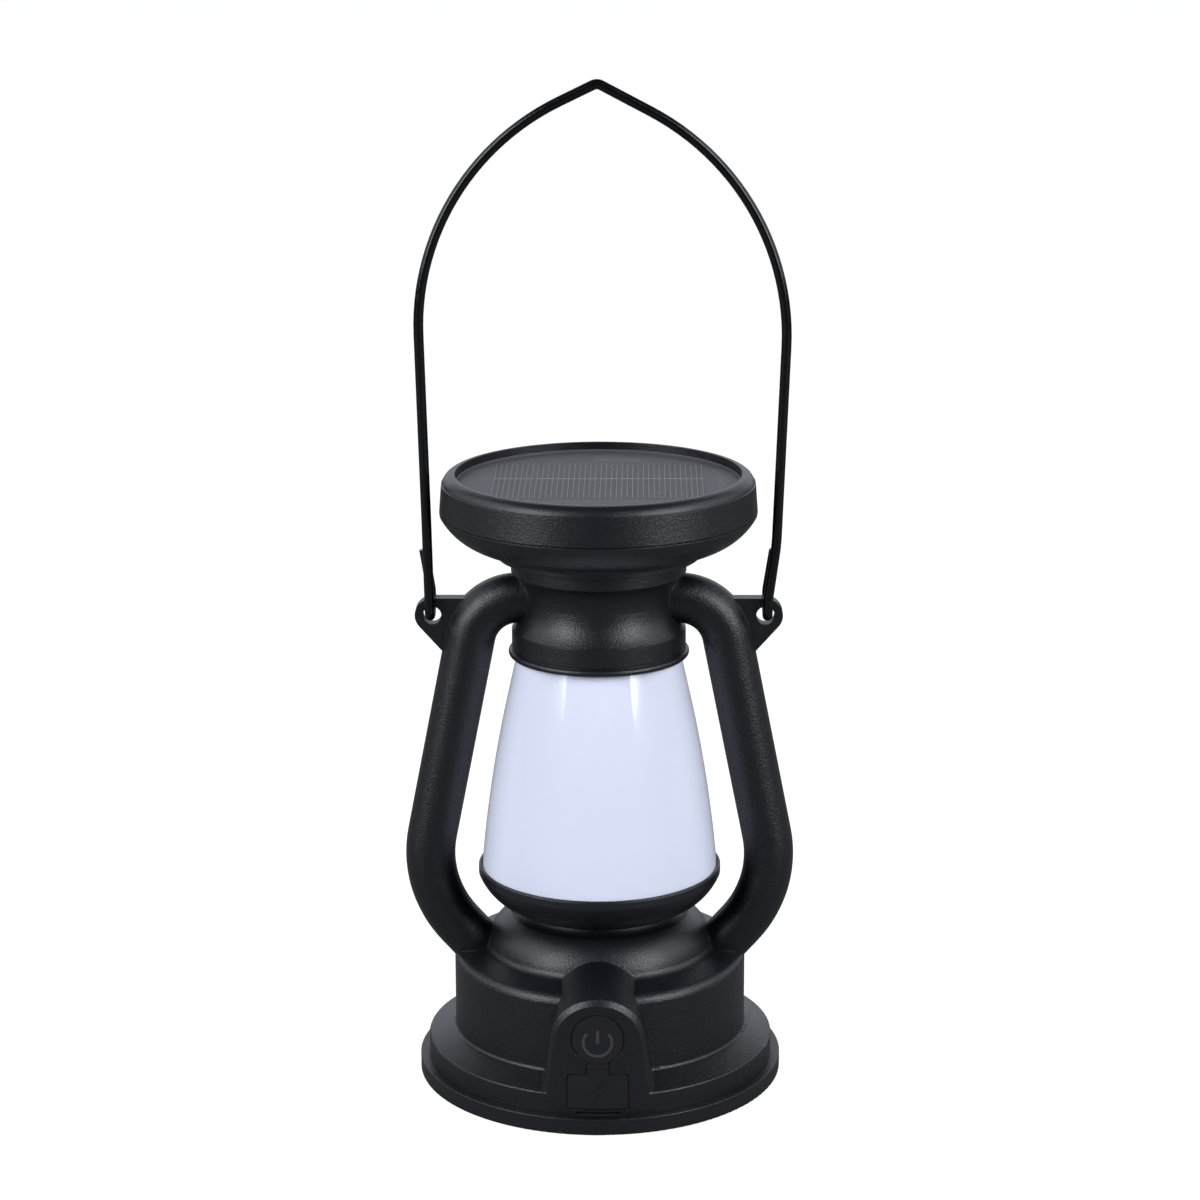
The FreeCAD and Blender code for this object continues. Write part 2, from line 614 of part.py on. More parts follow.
def shell_tools():
    """Everything that is cut out of the shells: holes, recesses, bores and the pry notch."""
    tools = []
    for side, sign in SIDES:
        tools.append(cylinder("bail_hole_" + side, "hole_radius", "ear_thickness + wall",
                              (f"{sign} hole_x", "- ear_thickness/2 - wall/2", "hole_z"), BACK))
    tools.append(button_bore("button_bore"))
    tools.append(cover_recess())
    tools.append(block("port_hole", ("plug_width + port_gap + port_gap", "boss_start - switch_board_y",
                                     "plug_top - plug_foot + port_gap + port_gap"),
                       ("- plug_width/2 - port_gap", "- boss_start", "plug_foot - port_gap")))
    tools.append(block("tab_slot", ("strap_width + strap_gap + strap_gap", "boss_start - switch_board_y",
                                    "strap_slot_top - hinge_z"),
                       ("- strap_width/2 - strap_gap", "- boss_start", "hinge_z")))
    tools.append(block("pry_notch", ("notch_width", "notch_depth", "notch_top - shell_foot + wall"),
                       ("- notch_width/2", "- step_radius", "shell_foot - wall")))
    tools += board_posts("board_pilot", "pilot_radius", "board_post_front", "switch_board_y")
    tools += base_posts("base_pilot", "screw_pilot", "base_boss_joint", "base_boss_top - wall/2")
    tools += [screw_bore(kind, side, sign) for side, sign in SIDES for kind in ("shell", "neck")]
    tools += [lamp_pilot(n, spot) for n, spot in enumerate(lamp_spots("lamp_screw_radius"))]
    return tools


def lamp_pilot(n, spot):
    foot = "cup_floor + board_thickness - small_screw_length"
    return cylinder(f"lamp_pilot_{n}", "pilot_radius", "small_screw_length",
                    (str(spot.x), str(spot.y), foot))


def button_bore(name):
    return cylinder(name, "button_hole", "step_radius + wall - button_flange_y",
                    ("0", "- step_radius - wall", "button_z"), BACK)


def screw_bore(kind, side, sign):
    """A pilot hole in the front post, a clear hole in the back one, and a round well for the head."""
    x, z = f"{sign} {kind}_screw_x", f"{kind}_screw_z"
    pilot = cylinder(f"{kind}_pilot_{side}", "screw_pilot", "screw_length", (x, "- screw_length", z), BACK)
    clear = cylinder(f"{kind}_clear_{side}", "screw_clear", "shell_head_depth + wall", (x, "0", z), BACK)
    well = cylinder(f"{kind}_well_{side}", "head_well", "step_radius", (x, "shell_head_depth", z), BACK)
    return fuse(f"{kind}_bore_{side}", [pilot, clear, well])


def cover_recess():
    """The shallow recess for the port cover and its strap, following the boss's round face."""
    plate = rounded_cover("recess", "cover_gap", "cover_foot - cover_foot_gap")
    strap = block("recess_strap", ("strap_width + strap_gap + strap_gap", "boss_start - switch_board_y",
                                   "strap_slot_top - cover_top"),
                  ("- strap_width/2 - strap_gap", "- boss_start", "cover_top"))
    core = cylinder("recess_core", "step_radius - cover_thickness - cover_gap", "cup_top", ("0", "0", "0"))
    return cut("cover_recess", fuse("recess_prism", [plate, strap]), core)


def rounded_cover(name, gap, foot):
    """The cover's outline with round upper corners, as a prism through the boss's face."""
    side, inner_side = f"cover_width/2 + {gap}", f"cover_width/2 + {gap} - cover_corner"
    minus_side, minus_inner = f"- cover_width/2 - {gap}", f"- cover_width/2 - {gap} + cover_corner"
    top, low_top = f"cover_top + {gap}", f"cover_top + {gap} - cover_corner"
    return extruded(name + "_plate", [
        (minus_side, foot),
        (side, foot),
        (side, low_top),
        (inner_side, top, "cover_corner", "ccw"),
        (minus_inner, top),
        (minus_side, low_top, "cover_corner", "ccw"),
    ], "boss_start", "boss_start - switch_board_y")


def shells():
    """Part the moulding into its front and back halves."""
    whole = body_shell()
    for label, start in (("front_shell", "- step_radius - step_radius"), ("back_shell", "0")):
        side = block(label + "_side", ("apex_z", "step_radius + step_radius", "apex_z"),
                     ("- apex_z/2", start, "0"))
        keep(common(label + "_half", [whole, side]), label)


# ---------------------------------------------------------------- base


def base_plate():
    """The round bottom: a floor, a rim that carries the shells' foot, and a lip inside them."""
    body = new_body("base_plate")
    turned(body, [
        ("0", "rest_gap"),
        ("flange_radius - flange_edge", "rest_gap"),
        ("flange_radius", "rest_gap + flange_edge", "flange_edge", "ccw"),
        ("flange_radius", "flange_top - flange_edge/2"),
        ("flange_radius - flange_edge/2", "flange_top", "flange_edge/2", "ccw"),
        ("lip_outer", "flange_top"),
        ("lip_outer", "lip_top"),
        ("plate_rim_inner", "lip_top"),
        ("plate_rim_inner", "plate_floor"),
        ("0", "plate_floor"),
    ])
    screws = [(f"{x} base_screw_reach", f"{y} base_screw_reach") for x, y in CORNERS]
    standoffs = [(f"{x} standoff_x", f"{y} standoff_y") for x, y in CORNERS]
    raised(body, "plate_bosses", "plate_floor", "base_boss_joint - plate_floor", screws,
           "plate_boss_radius")
    raised(body, "plate_standoffs", "plate_floor", "main_board_z - plate_floor", standoffs,
           "standoff_radius")
    sunk(body, "plate_screw_wells", "rest_gap", "base_head_seat - rest_gap", screws, "head_well")
    sunk(body, "plate_screw_holes", "base_head_seat", "base_boss_joint", screws, "screw_clear")
    sunk(body, "plate_pad_pockets", "rest_gap", "pad_top - rest_gap", pad_places(), "pad_radius")
    sunk(body, "plate_pilots", "main_board_z - small_screw_length", "small_screw_length", standoffs,
         "pilot_radius")


def pad_places():
    """Centres of the four pads: right, left, back and front."""
    return [("pad_reach", "0"), ("- pad_reach", "0"), ("0", "pad_reach"), ("0", "- pad_reach")]


def foot_pads():
    pads = [cylinder(f"pad_{n}", "pad_radius", "pad_top", (x, y, "0"))
            for n, (x, y) in enumerate(pad_places())]
    keep(group("pads", pads), "foot_pads")


def base_gasket():
    body = new_body("base_gasket")
    turned(body, [
        ("gasket_inner", "flange_top"),
        ("gasket_outer", "flange_top"),
        ("gasket_outer", "shell_foot"),
        ("gasket_inner", "shell_foot"),
    ])


# ---------------------------------------------------------------- fasteners


def local(thing, base, turn, shift):
    """Place a thing by its own axis: shift is measured in the turned frame."""
    thing.Placement = Placement(base, turn).multiply(Placement(shift, Rotation()))


def screw(name, spot, axis, shank="screw_radius", length="screw_length", head="screw_head_radius",
          rise="screw_head_height"):
    """A pan-head screw with a cross recess: its head seats at spot and its shank points along axis."""
    base, turn = point(*spot), Rotation(UP, axis)
    stem = doc.addObject("Part::Cylinder", name + "_shank")
    bind(stem, Radius=shank, Height=length)
    local(stem, base, turn, Vector())
    cap = doc.addObject("Part::Cone", name + "_cap")
    bind(cap, Radius1=head + " - cross_width/2", Radius2=head, Height=rise)
    local(cap, base, turn, Vector(0, 0, -number(rise)))
    slots = []
    for across, along in (("cross_width", head), (head, "cross_width")):
        slot = doc.addObject("Part::Box", f"{name}_slot_{along}")
        bind(slot, Length=across, Width=along, Height="cross_depth")
        local(slot, base, turn, Vector(-number(across) / 2, -number(along) / 2, -number(rise)))
        slots.append(slot)
    return cut(name, fuse(name + "_blank", [stem, cap]), fuse(name + "_cross", slots))


def small_screw(name, spot, axis):
    return screw(name, spot, axis, "small_screw_radius", "small_screw_length", "small_head_radius",
                 "small_head_height")


def fasteners():
    base = [screw(f"base_screw_{n}",
                  (f"{x} base_screw_reach", f"{y} base_screw_reach", "base_head_seat"), UP)
            for n, (x, y) in enumerate(CORNERS)]
    keep(group("base_screw_set", base), "base_screws")
    shell = [screw(f"{kind}_screw_{side}",
                   (f"{sign} {kind}_screw_x", "shell_head_depth", f"{kind}_screw_z"), -BACK,
                   length="long_screw_length")
             for side, sign in SIDES for kind in ("shell", "neck")]
    keep(group("shell_screw_set", shell), "shell_screws")
    head = [screw(f"head_screw_{n}",
                  (f"{x} head_screw_reach", f"{y} head_screw_reach", "head_screw_seat"), UP)
            for n, (x, y) in enumerate(CORNERS)]
    keep(group("head_screw_set", head), "head_screws")
    boards = [small_screw(f"main_screw_{n}",
                          (f"{x} standoff_x", f"{y} standoff_y", "main_board_z + board_thickness"), -UP)
              for n, (x, y) in enumerate(CORNERS)]
    boards += [small_screw(f"switch_screw_{side}",
                           (f"{sign} board_post_x", "board_thickness - switch_board_y", "board_post_z"),
                           -BACK)
               for side, sign in SIDES]
    keep(group("board_screw_set", boards), "board_screws")
    lamp_seats = enumerate(lamp_spots("lamp_screw_radius"))
    lamp = [small_screw(f"lamp_screw_{n}", (str(spot.x), str(spot.y), "cup_floor + board_thickness"), -UP)
            for n, spot in lamp_seats]
    keep(group("lamp_screw_set", lamp), "lamp_screws")


# ---------------------------------------------------------------- button, port and cover


def face_band(name, outer, inner):
    """The thin round layer of the boss's face between two radii about the lantern's axis."""
    return cut(name, cylinder(name + "_outer", outer, "cup_top", ("0", "0", "0")),
               cylinder(name + "_inner", inner, "cup_top", ("0", "0", "0")))


def symbol_prism(name):
    """The power sign: a ring open at the top and a bar in the opening, both with round ends."""
    where = ("0", "- boss_start", "symbol_z")
    depth = "boss_start - switch_board_y"
    ring = cut(name + "_ring",
               cylinder(name + "_ring_outer", "symbol_radius + symbol_stroke/2", depth, where, BACK),
               cylinder(name + "_ring_inner", "symbol_radius - symbol_stroke/2", depth, where, BACK))
    opening = extruded(name + "_opening", [
        ("0", "symbol_z"),
        ("symbol_gap_x + symbol_gap_x", "symbol_z + symbol_gap_z + symbol_gap_z"),
        ("- symbol_gap_x - symbol_gap_x", "symbol_z + symbol_gap_z + symbol_gap_z"),
    ], "boss_start", depth)
    bar = block(name + "_bar", ("symbol_bar", depth, "symbol_bar_top + symbol_bar_foot"),
                ("- symbol_bar/2", "- boss_start", "symbol_z - symbol_bar_foot"))
    ends = [cylinder(f"{name}_end_{side}", "symbol_stroke/2", depth,
                     (f"{sign} symbol_gap_x", "- boss_start", "symbol_z + symbol_gap_z"), BACK)
            for side, sign in SIDES]
    return fuse(name, [cut(name + "_open_ring", ring, opening), bar] + ends)


def button():
    stem = cylinder("button_stem", "button_radius", "boss_start - button_flange_end",
                    ("0", "- boss_start", "button_z"), BACK)
    dome = cylinder("button_limit", "button_face", "cup_top", ("0", "0", "0"))
    flange = cylinder("button_flange", "button_flange", "button_flange_y - button_flange_end",
                      ("0", "- button_flange_y", "button_z"), BACK)
    post = cylinder("button_post", "button_post", "button_flange_y - button_post_end",
                    ("0", "- button_flange_y", "button_z"), BACK)
    blank = fuse("button_blank", [common("button_head", [stem, dome]), flange, post])
    pocket = common("symbol_pocket", [symbol_prism("symbol_tool"),
                                      face_band("symbol_room", "boss_start", "button_face - symbol_depth")])
    keep(cut("button", blank, pocket), "button_cap")
    keep(common("symbol", [symbol_prism("symbol_bar_ring"),
                           face_band("symbol_layer", "button_face - symbol_sink",
                                     "button_face - symbol_depth")]), "power_symbol")


def bolt_mark():
    """A small raised lightning bolt, a plain sign for charging."""
    zig = [("cover_corner", "plug_top"), ("- cover_corner", "socket_z - symbol_depth"),
           ("cover_gap", "socket_z - symbol_depth"), ("- cover_corner", "plug_foot"),
           ("cover_corner", "socket_z + symbol_depth"), ("- cover_gap", "socket_z + symbol_depth")]
    return extruded("bolt_prism", zig, "boss_start + bolt_relief", "boss_start - switch_board_y")


def port_cover():
    """The silicone flap with its plug and strap, which bends at the strap's upper end."""
    plate = rounded_cover("cover", "0", "cover_foot")
    strap = block("cover_strap", ("strap_width", "boss_start - switch_board_y",
                                  "hinge_z - cover_top + wall"),
                  ("- strap_width/2", "- boss_start", "cover_top - wall"))
    skin = common("cover_skin", [fuse("cover_prism", [plate, strap]),
                                 face_band("cover_layer", "step_radius", "step_radius - cover_thickness")])
    plug = block("plug_block", ("plug_width", "step_radius - cover_thickness/2 - plug_back",
                                "plug_top - plug_foot"),
                 ("- plug_width/2", "cover_thickness/2 - step_radius", "plug_foot"))
    doc.recompute()
    eased = doc.addObject("Part::Chamfer", "plug")
    eased.Base = plug
    size = number("plug_chamfer")
    eased.Edges = [(n, size, size) for n, edge in enumerate(plug.Shape.Edges, start=1)
                   if abs(edge.CenterOfMass.y + number("plug_back")) < TINY
                   and abs(edge.CenterOfMass.z - number("plug_foot")) < TINY]
    mark = common("bolt_mark", [bolt_mark(), face_band("bolt_layer", "step_radius + bolt_relief",
                                                       "step_radius - cover_thickness/2")])
    keep(fuse("cover_all", [skin, eased, mark]), "port_cover")


def cover_anchor():
    """The fixed end of the strap: a tab through the wall and a wider head behind it."""
    tab = block("anchor_tab", ("strap_width", "step_radius - tab_end",
                               "strap_slot_top - hinge_z - strap_gap"),
                ("- strap_width/2", "- step_radius", "hinge_z + strap_gap"))
    limit = cylinder("anchor_limit", "step_radius", "cup_top", ("0", "0", "0"))
    neat = cut("anchor_neat", common("anchor_round", [tab, limit]), button_bore("anchor_bore"))
    head = block("anchor_head", ("anchor_head", "anchor_head_y - anchor_head_end",
                                 "anchor_head_top - anchor_head_foot"),
                 ("- anchor_head/2", "- anchor_head_y", "anchor_head_foot"))
    keep(fuse("anchor", [neat, head]), "cover_anchor")


def socket():
    """The charging socket: a flattened metal tube round a thin contact tongue."""
    def stadium(name, shrink, front, back):
        half = f"socket_height/2 - {shrink}"
        depth = f"{front} - {back}"
        flat = "socket_width/2 - socket_height/2"
        ends = [cylinder(f"{name}_{side}", half, depth,
                         (f"{sign} socket_width/2 {'-' if sign == '+' else '+'} socket_height/2",
                          "- " + front, "socket_z"), BACK) for side, sign in SIDES]
        middle = block(name + "_middle", (f"{flat} + {flat}", depth, f"{half} + {half}"),
                       ("socket_height/2 - socket_width/2", "- " + front,
                        f"socket_z - socket_height/2 + {shrink}"))
        return fuse(name, ends + [middle])

    tube = cut("socket_tube", stadium("socket_outer", "0", "socket_front", "switch_board_y"),
               stadium("socket_inner", "socket_wall", "socket_front", "switch_board_y"))
    keep(tube, "socket_shell")
    tongue = block("tongue", ("tongue_width", "tongue_front - switch_board_y", "tongue_height"),
                   ("- tongue_width/2", "- tongue_front", "socket_z - tongue_height/2"))
    keep(tongue, "socket_tongue")


def switch_side():
    board = block("switch_board_blank", ("switch_board_width", "board_thickness",
                                         "switch_board_top - switch_board_foot"),
                  ("- switch_board_width/2", "- switch_board_y", "switch_board_foot"))
    holes = board_posts("switch_board_hole", "board_hole", "board_post_front", "board_post_front/2")
    keep(cut("switch_board_drilled", board, fuse("switch_board_holes", holes)), "switch_board")
    case = block("switch_case", ("switch_size", "switch_front - switch_board_y", "switch_size"),
                 ("- switch_size/2", "- switch_front", "button_z - switch_size/2"))
    bore = cylinder("switch_bore", "plunger_bore", "switch_front - bore_back",
                    ("0", "- switch_front", "button_z"), BACK)
    keep(cut("switch", case, bore), "tact_switch")
    keep(cylinder("plunger", "plunger_radius", "plunger_front - plunger_back",
                  ("0", "- plunger_front", "button_z"), BACK), "switch_plunger")


# ---------------------------------------------------------------- battery and electronics


def battery():
    cell = cylinder("cell_can", "cell_radius", "cell_length", ("- cell_length/2", "cell_y", "cell_z"), RIGHT)
    cap = cylinder("cell_cap", "cell_cap_radius", "cell_cap_height",
                   ("cell_length/2", "cell_y", "cell_z"), RIGHT)
    keep(fuse("cell", [cell, cap]), "battery_cell")
    tray = block("cradle_block", ("cradle_length", "cradle_width", "contact_top - plate_floor"),
                 ("- cradle_length/2", "cell_y - cradle_width/2", "plate_floor"))
    above = block("cradle_above", ("cradle_room", "cradle_width", "contact_top"),
                  ("- cradle_room/2", "cell_y - cradle_width/2", "cradle_top"))
    trough = cylinder("cradle_trough", "cell_radius + cradle_gap", "cradle_room",
                      ("- cradle_room/2", "cell_y", "cell_z"), RIGHT)
    keep(cut("cradle", tray, fuse("cradle_space", [above, trough])), "battery_cradle")
    starts = (("plus", "cradle_room/2 - contact_thickness"), ("minus", "- cradle_room/2"))
    plates = [block(f"contact_{side}",
                    ("contact_thickness", "contact_width", "contact_top - contact_foot"),
                    (start, "cell_y - contact_width/2", "contact_foot"))
              for side, start in starts]
    dimple = cylinder("dimple", "dimple_radius",
                      "cradle_room/2 - cell_length/2 - cell_cap_height - contact_thickness",
                      ("cell_length/2 + cell_cap_height", "cell_y", "cell_z"), RIGHT)
    spring = doc.addObject("Part::Cone", "spring")
    bind(spring, Radius1="spring_radius", Radius2="spring_tip",
         Height="cradle_room/2 - cell_length/2 - contact_thickness")
    place(spring, ("contact_thickness - cradle_room/2", "cell_y", "cell_z"), Rotation(UP, RIGHT))
    contacts = [fuse("plus_contact", [plates[0], dimple]), fuse("minus_contact", [plates[1], spring])]
    keep(group("contacts", contacts), "battery_contacts")


def main_board():
    blank = block("main_blank", ("main_board_x + main_board_x", "main_board_front + main_board_back",
                                 "board_thickness"), ("- main_board_x", "- main_board_front", "main_board_z"))
    holes = [cylinder(f"main_hole_{n}", "board_hole", "board_thickness",
                      (f"{x} standoff_x", f"{y} standoff_y", "main_board_z"))
             for n, (x, y) in enumerate(CORNERS)]
    keep(cut("main_drilled", blank, fuse("main_holes", holes)), "main_board")
    board_parts()
    keep(block("ribbon", ("ribbon_width", "switch_board_y - board_thickness - main_board_front",
                          "ribbon_thickness"),
               ("- ribbon_width/2", "board_thickness - switch_board_y", "ribbon_z")), "ribbon_link")


def board_parts():
    """A coil, two capacitors, a chip and the two plug sockets that stand on the main board."""
    top = "main_board_z + board_thickness"
    rise = "socket_top - main_board_z - board_thickness"
    parts = [
        block("charge_coil", ("coil_side", "coil_side", "coil_height"), ("- coil_side", "- standoff_y", top)),
        block("chip", ("chip_side", "chip_side", "chip_height"), ("can_radius", "- standoff_y", top)),
    ]
    for (side, sign), y in zip(SIDES, ("can_radius + can_height", "can_height")):
        parts.append(cylinder(f"can_{side}", "can_radius", "can_height",
                              (f"{sign} can_radius + can_height", y, top)))
    for name, x in (("panel", "socket_x"), ("lamp", "- lamp_lead_x")):
        parts.append(block(name + "_socket", ("socket_block", "socket_block", rise),
                           (f"{x} - socket_block/2", "- socket_block/2", top)))
    keep(group("board_part_set", parts), "board_parts")


def leads():
    """The panel's lead down the right arm, the lamp's lead up the stem and the battery's two short ones."""
    bend = number("lead_bend")
    panel = [
        (point("0", "0", "ledge_top + tape_thickness"), 0),
        (point("0", "0", "lead_height"), bend),
        (point("shoulder_x", "0", "lead_height"), number("shoulder_bend")),
        (point("elbow_x", "0", "elbow_z"), number("elbow_bend")),
        (point("panel_lead_x", "0", "panel_lead_z"), bend),
        (point("socket_x", "0", "panel_lead_z"), number("plug_bend")),
        (point("socket_x", "0", "socket_top"), 0),
    ]
    keep(swept("panel_lead_bar", "lead_radius", panel), "panel_leads")
    lamp = [
        (point("- lamp_lead_x", "0", "cup_floor"), 0),
        (point("- lamp_lead_x", "0", "lamp_lead_high"), bend),
        (point("- lamp_lead_x - lamp_lead_shift", "0", "lamp_lead_mid"), bend),
        (point("- lamp_lead_x", "0", "lamp_lead_low"), bend),
        (point("- lamp_lead_x", "0", "socket_top"), 0),
    ]
    keep(swept("lamp_lead_bar", "lead_radius", lamp), "lamp_leads")
    turn = number("battery_bend")
    start = "cradle_room/2 - contact_thickness/2"
    battery_run = [
        (point(start, "cell_y", "contact_top"), 0),
        (point(start, "cell_y", "battery_lead_z"), turn),
        (point("battery_lead_x", "cell_y", "battery_lead_z"), turn),
        (point("battery_lead_x", "cell_y", "main_board_z"), 0),
    ]
    right = swept("battery_lead_right", "battery_lead", battery_run)
    keep(group("battery_lead_set", [right, mirrored("battery_lead_left", right)]), "battery_leads")


# ---------------------------------------------------------------- lamp and shade


def lamp():
    body = new_body("lamp_board")
    turned(body, [
        ("lamp_board_hole", "cup_floor"),
        ("lamp_board_radius", "cup_floor"),
        ("lamp_board_radius", "cup_floor + board_thickness"),
        ("lamp_board_hole", "cup_floor + board_thickness"),
    ])
    spots = [(str(spot.x), str(spot.y)) for spot in lamp_spots("lamp_screw_radius")]
    sunk(body, "lamp_board_holes", "cup_floor", "board_thickness", spots, "board_hole")
    chips = []
    for ring, count in (("led_circle", 12), ("led_inner_circle", 6)):
        for n in range(count):
            chip = doc.addObject("Part::Box", f"{ring}_{n}")
            bind(chip, Length="led_length", Width="led_width", Height="led_height")
            turn = Rotation(UP, 360 * n / count)
            corner = Vector(number(ring) - number("led_length") / 2, -number("led_width") / 2,
                            number("cup_floor + board_thickness"))
            local(chip, Vector(), turn, corner)
            chips.append(chip)
    keep(group("led_set", chips), "led_chips")


def shade():
    """The milk-white diffuser: a tapered cup, closed at the top, whose skirt sits in the base's cup."""
    body = new_body("shade")
    turned(body, [
        ("0", "shade_top - shade_wall"),
        ("shade_top_radius - shade_wall - shade_top_round/2", "shade_top - shade_wall"),
        ("shade_high_radius - shade_wall", "shade_high"),
        ("shade_foot_radius - shade_wall", "shade_step + shade_wall", "shade_round", "cw"),
        ("shade_skirt_radius - shade_wall", "shade_step"),
        ("shade_skirt_radius - shade_wall", "shade_skirt"),
        ("shade_skirt_radius", "shade_skirt"),
        ("shade_skirt_radius", "shade_step"),
        ("shade_foot_radius", "shade_step"),
        ("shade_high_radius", "shade_high", "shade_round", "ccw"),
        ("shade_top_radius", "shade_top - shade_top_round"),
        ("shade_top_radius - shade_top_round", "shade_top", "shade_top_round", "ccw"),
        ("0", "shade_top"),
    ])


# ---------------------------------------------------------------- solar head


def head_spots(name, radius, foot, top):
    return [cylinder(f"{name}_{n}", radius, f"{top} - {foot}",
                     (f"{x} head_screw_reach", f"{y} head_screw_reach", foot))
            for n, (x, y) in enumerate(CORNERS)]


def solar_bowl():
    """The head's lower housing, with the spigot whose flange the two shells trap."""
    outside = revolved("bowl_outside", [
        ("0", "spigot_foot"),
        ("spigot_flange", "spigot_foot"),
        ("spigot_flange", "spigot_flange_top"),
        ("spigot_radius", "spigot_flange_top"),
        ("spigot_radius", "collar_top"),
        ("seat_radius", "collar_top"),
        ("seat_radius", "bowl_foot"),
        ("bowl_ring", "bowl_foot"),
        ("bowl_ring", "bowl_ring_top"),
        ("bowl_step", "bowl_step_z"),
        ("bowl_radius", "bowl_belly", "bowl_round", "ccw"),
        ("bowl_radius", "bowl_top"),
        ("0", "bowl_top"),
    ])
    inside = revolved("bowl_inside", [
        ("0", "spigot_foot - wall"),
        ("spigot_bore", "spigot_foot - wall"),
        ("spigot_bore", "bowl_floor"),
        ("bowl_floor_radius", "bowl_floor"),
        ("bowl_floor_radius", "bowl_inner_step"),
        ("bowl_inner_radius", "bowl_inner_belly", "bowl_round", "ccw"),
        ("bowl_inner_radius", "bowl_top + wall"),
        ("0", "bowl_top + wall"),
    ])
    posts = head_spots("bowl_post", "head_boss_radius + head_boss_wall", "bowl_foot", "head_boss_joint")
    held = common("bowl_posts", [fuse("bowl_post_set", posts), outside])
    wells = head_spots("bowl_well", "head_well", "bowl_foot", "head_screw_seat")
    holes = head_spots("bowl_hole", "screw_clear", "head_screw_seat", "head_boss_joint")
    keep(cut("bowl", fuse("bowl_ribbed", [cut("bowl_hollow", outside, inside), held]),
             fuse("bowl_tools", wells + holes)), "solar_bowl")


def solar_bezel():
    """The head's upper part: a round brow, a raised rim and a sunken tray that carries the panel."""
    body = new_body("solar_bezel")
    turned(body, [
        ("bezel_lip_inner", "bezel_lip_foot"),
        ("bezel_lip", "bezel_lip_foot"),
        ("bezel_lip", "bezel_foot"),
        ("bezel_radius", "bezel_foot"),
        ("bezel_brow_radius", "bezel_brow"),
        ("bezel_brow_radius - brow_step", "bezel_brow + brow_step/2"),
        ("rim_radius", "rim_top", "bezel_brow_round", "ccw"),
        ("rim_inner", "rim_top"),
        ("rim_inner", "ledge_top"),
        ("tray_hole", "ledge_top"),
        ("tray_hole", "ledge_bottom"),
        ("bezel_lip_inner", "ledge_bottom"),
    ])
    spots = [(f"{x} head_screw_reach", f"{y} head_screw_reach") for x, y in CORNERS]
    raised(body, "bezel_posts", "head_boss_joint", "ledge_top - head_boss_joint", spots,
           "head_boss_radius")
    sunk(body, "bezel_pilots", "head_boss_joint", "ledge_bottom - head_boss_joint", spots,
         "screw_pilot")


def strips(name, top, thickness):
    """The row of cell strips, side by side along X."""
    count = int(number("cell_strips"))
    cells_made = []
    for n in range(count):
        start = (n - count / 2) * number("strip_pitch") + number("strip_gap/2")
        where = (f"{start:.3f}", "strip_shift - strip_length/2", f"{top} - {thickness}")
        cells_made.append(block(f"{name}_{n}", ("strip_pitch - strip_gap", "strip_length", thickness), where))
    return cells_made


def solar_panel():
    board_top = "panel_top - panel_film"
    keep(cylinder("panel_base", "panel_radius", "panel_top - panel_film - ledge_top - tape_thickness",
                  ("0", "0", "ledge_top + tape_thickness")), "panel_board")
    strip_top = board_top + " + strip_thickness"
    keep(group("cell_set", strips("strip", strip_top, "strip_thickness")), "solar_cells")
    film = cylinder("film_blank", "panel_radius", "panel_film", ("0", "0", board_top))
    room = group("cell_room", strips("strip_room", strip_top, "strip_thickness"))
    keep(cut("film", film, room), "panel_film")
    body = new_body("panel_tape")
    turned(body, [
        ("tape_inner", "ledge_top"),
        ("tape_outer", "ledge_top"),
        ("tape_outer", "ledge_top + tape_thickness"),
        ("tape_inner", "ledge_top + tape_thickness"),
    ])


# ---------------------------------------------------------------- bail


def bail_side(side, sign, lean):
    """One leg from the apex down: bend, knee, ankle, the hook through the ear and the return strand."""
    front, back = "- hook_radius", "hook_radius"
    floor = "axis_z - hook_radius"
    hook = number("hook_radius")
    return [
        (point(f"{sign} bend_{side}_x", front, f"bend_{side}_z"), number(f"bend_{side}")),
        (point(f"{sign} knee_{side}_x", front, f"knee_{side}_z"), number("knee_bend")),
        (point(f"{sign} hook_x", front, "ankle_z"), number("ankle_bend")),
        (point(f"{sign} hook_x", front, floor), hook),
        (point(f"{sign} hook_x", back, floor), hook),
        (point(f"{sign} hook_x", back, "return_bend_z"), number("return_bend")),
        (point(f"{sign} {lean}", back, "return_top"), 0),
    ]


def bail_handle():
    left = bail_side("left", "-", "return_left_x")
    right = bail_side("right", "+", "return_right_x")
    apex = [(point("0", "- hook_radius", "apex_z"), number("apex_bend"))]
    keep(swept("bail_bar", "bail_wire", left[::-1] + apex + right), "bail_handle")


# ---------------------------------------------------------------- build and export


def check(thing):
    if "Invalid" in thing.State or "Error" in thing.State:
        raise ValueError(f"{thing.Name} failed: {thing.State}")
    shape = getattr(thing, "Shape", None)
    if thing in subparts and (shape.isNull() or not shape.isValid() or not shape.Solids):
        raise ValueError(f"{thing.Label} has no valid solid")


def main():
    fill_sheet()
    shells()
    base_plate()
    foot_pads()
    base_gasket()
    button()
    port_cover()
    cover_anchor()
    socket()
    switch_side()
    battery()
    main_board()
    leads()
    lamp()
    shade()
    solar_bowl()
    solar_bezel()
    solar_panel()
    bail_handle()
    fasteners()
    doc.recompute()
    for thing in doc.Objects:
        check(thing)
    os.makedirs("parts", exist_ok=True)
    for thing in subparts:
        thing.Shape.exportStep(f"parts/{thing.Label}.step")
        print(f"{thing.Label}: {thing.Shape.Volume:.0f} mm3, {len(thing.Shape.Solids)} solids")


main()
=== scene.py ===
"""Looks of the solar lantern: its materials, printed cell pattern, studio and camera."""
import json
import math

import bmesh
import bpy
from mathutils import Euler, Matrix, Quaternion, Vector

